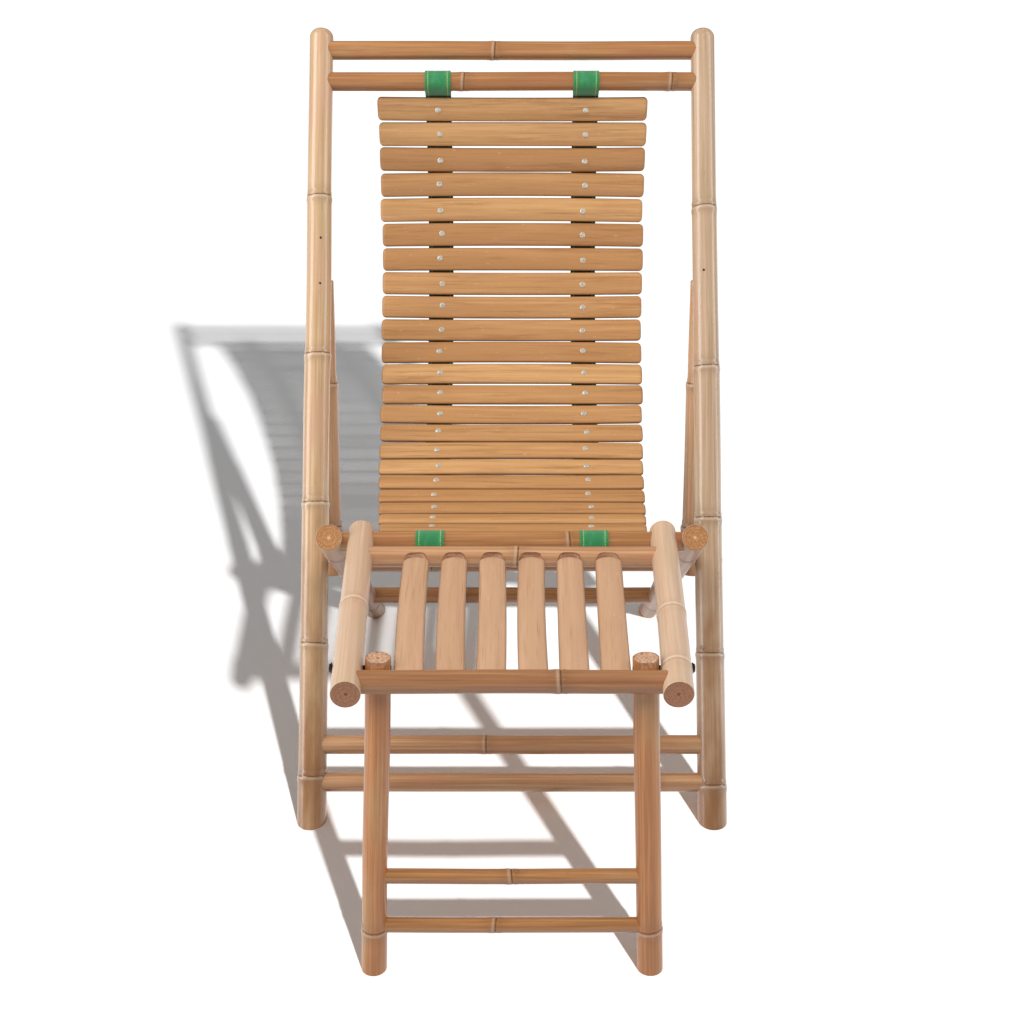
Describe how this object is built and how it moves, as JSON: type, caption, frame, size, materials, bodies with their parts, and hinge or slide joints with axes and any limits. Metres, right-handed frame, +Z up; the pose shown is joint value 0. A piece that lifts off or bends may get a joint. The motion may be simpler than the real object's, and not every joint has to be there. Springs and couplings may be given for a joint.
{
  "type": "folding recliner",
  "caption": "Folding bamboo deck recliner: slatted sling on webbing straps, crossed seat frame held open by a hinged rear prop, and a hook-on slatted footrest with folding legs.",
  "frame": {"origin": "On the floor, under the middle of the recliner's box at rest, opened out with the footrest hooked on.", "axes": "+Z up, the sitter faces -Y, +X is to the right as seen from the front (the sitter's left). Mirror plane X = 0, apart from the places of the bamboo joints."},
  "size_m": [0.5596, 0.866, 0.9252],
  "materials": {
    "pole_bamboo": "satin natural bamboo",
    "footrest_bamboo": "satin pale bamboo",
    "slat_bamboo": "satin split bamboo",
    "green_webbing": "woven webbing",
    "steel": "zinc plated"
  },
  "bodies": {
    "back_frame": {"back_pole_left": "pole_bamboo", "back_pole_right": "pole_bamboo", "back_top_rail": "pole_bamboo", "back_sling_rail": "pole_bamboo", "back_foot_rail_upper": "pole_bamboo", "back_foot_rail_lower": "pole_bamboo", "prop_bracket_left": "steel", "prop_bracket_right": "steel", "prop_pin_left": "steel", "prop_pin_right": "steel", "pivot_pin_left": "steel", "pivot_pin_right": "steel", "strap_left": "green_webbing", "strap_right": "green_webbing"},
    "seat_frame": {"seat_pole_left": "pole_bamboo", "seat_pole_right": "pole_bamboo", "seat_front_rail": "pole_bamboo", "seat_rear_rail": "pole_bamboo"},
    "prop_frame": {"prop_pole_left": "pole_bamboo", "prop_pole_right": "pole_bamboo", "prop_rail": "pole_bamboo"},
    "sling_01": {"sling_slat_01": "slat_bamboo", "sling_slat_02": "slat_bamboo"},
    "sling_02": {"sling_slat_03": "slat_bamboo", "sling_slat_04": "slat_bamboo", "sling_slat_05": "slat_bamboo", "sling_slat_06": "slat_bamboo", "sling_slat_07": "slat_bamboo", "sling_slat_08": "slat_bamboo"},
    "sling_03": {"sling_slat_09": "slat_bamboo", "sling_slat_10": "slat_bamboo"},
    "sling_04": {"sling_slat_11": "slat_bamboo", "sling_slat_12": "slat_bamboo"},
    "sling_05": {"sling_slat_13": "slat_bamboo", "sling_slat_14": "slat_bamboo"},
    "sling_06": {"sling_slat_15": "slat_bamboo", "sling_slat_16": "slat_bamboo"},
    "sling_07": {"sling_slat_17": "slat_bamboo", "sling_slat_18": "slat_bamboo"},
    "sling_08": {"sling_slat_19": "slat_bamboo", "sling_slat_20": "slat_bamboo"},
    "sling_09": {"sling_slat_21": "slat_bamboo", "sling_slat_22": "slat_bamboo"},
    "footrest": {"footrest_side_left": "footrest_bamboo", "footrest_side_right": "footrest_bamboo", "footrest_rear_rail": "footrest_bamboo", "footrest_front_rail": "footrest_bamboo", "footrest_slat_1": "footrest_bamboo", "footrest_slat_2": "footrest_bamboo", "footrest_slat_3": "footrest_bamboo", "footrest_slat_4": "footrest_bamboo", "footrest_slat_5": "footrest_bamboo", "footrest_slat_6": "footrest_bamboo"},
    "footrest_legs": {"footrest_leg_left": "footrest_bamboo", "footrest_leg_right": "footrest_bamboo", "footrest_leg_bolt_left": "steel", "footrest_leg_bolt_right": "steel", "footrest_rung_upper": "footrest_bamboo", "footrest_rung_lower": "footrest_bamboo"}
  },
  "joints": [
    {"name": "fold", "type": "hinge", "parent": "back_frame", "child": "seat_frame", "pos_m": [0, 0.02735, 0.29329], "axis": [1, 0, 0], "range_deg": [0, 96], "deforming": ["strap_left", "strap_right"]},
    {"name": "prop_swing", "type": "hinge", "parent": "back_frame", "child": "prop_frame", "pos_m": [0, 0.25002, 0.59766], "axis": [1, 0, 0], "range_deg": [0, 160.4]},
    {"name": "sling_bend_01", "type": "hinge", "parent": "back_frame", "child": "sling_01", "pos_m": [0, 0.35484, 0.85823], "axis": [1, 0, 0], "range_deg": [-43.1, 0]},
    {"name": "sling_bend_02", "type": "hinge", "parent": "sling_01", "child": "sling_02", "pos_m": [0, 0.372, 0.76781], "axis": [1, 0, 0], "range_deg": [0, 21.58]},
    {"name": "sling_bend_03", "type": "hinge", "parent": "sling_02", "child": "sling_03", "pos_m": [0, 0.3281, 0.56443], "axis": [1, 0, 0], "range_deg": [0, 23.53]},
    {"name": "sling_bend_09", "type": "hinge", "parent": "seat_frame", "child": "sling_09", "pos_m": [0, -0.08012, 0.37165], "axis": [1, 0, 0], "range_deg": [-28.75, 0]},
    {"name": "sling_bend_08", "type": "hinge", "parent": "sling_09", "child": "sling_08", "pos_m": [0, 0.00724, 0.36452], "axis": [1, 0, 0], "range_deg": [-12.05, 0]},
    {"name": "sling_bend_07", "type": "hinge", "parent": "sling_08", "child": "sling_07", "pos_m": [0, 0.07031, 0.37202], "axis": [1, 0, 0], "range_deg": [-10.06, 0]},
    {"name": "sling_bend_06", "type": "hinge", "parent": "sling_07", "child": "sling_06", "pos_m": [0, 0.13212, 0.39031], "axis": [1, 0, 0], "range_deg": [-10.05, 0]},
    {"name": "sling_bend_05", "type": "hinge", "parent": "sling_06", "child": "sling_05", "pos_m": [0, 0.19075, 0.41932], "axis": [1, 0, 0], "range_deg": [-10, 0]},
    {"name": "sling_bend_04", "type": "hinge", "parent": "sling_05", "child": "sling_04", "pos_m": [0, 0.24423, 0.45861], "axis": [1, 0, 0], "range_deg": [-9.99, 0]},
    {"name": "footrest_lift", "type": "slide", "parent": "back_frame", "child": "footrest", "axis": [0, 0, 1], "range_m": [0, 0.25]},
    {"name": "footrest_legs_fold", "type": "hinge", "parent": "footrest", "child": "footrest_legs", "pos_m": [0, -0.37872, 0.36779], "axis": [1, 0, 0], "range_deg": [0, 90]}
  ],
  "couplings": [
    {"joint": "prop_swing", "follows": "fold", "ratio": 1.67},
    {"joint": "sling_bend_01", "follows": "fold", "ratio": -0.4484},
    {"joint": "sling_bend_02", "follows": "fold", "ratio": 0.22429},
    {"joint": "sling_bend_03", "follows": "fold", "ratio": 0.24454},
    {"joint": "sling_bend_09", "follows": "fold", "ratio": -0.299},
    {"joint": "sling_bend_08", "follows": "fold", "ratio": -0.12498},
    {"joint": "sling_bend_07", "follows": "fold", "ratio": -0.10424},
    {"joint": "sling_bend_06", "follows": "fold", "ratio": -0.10412},
    {"joint": "sling_bend_05", "follows": "fold", "ratio": -0.10366},
    {"joint": "sling_bend_04", "follows": "fold", "ratio": -0.10357}
  ]
}
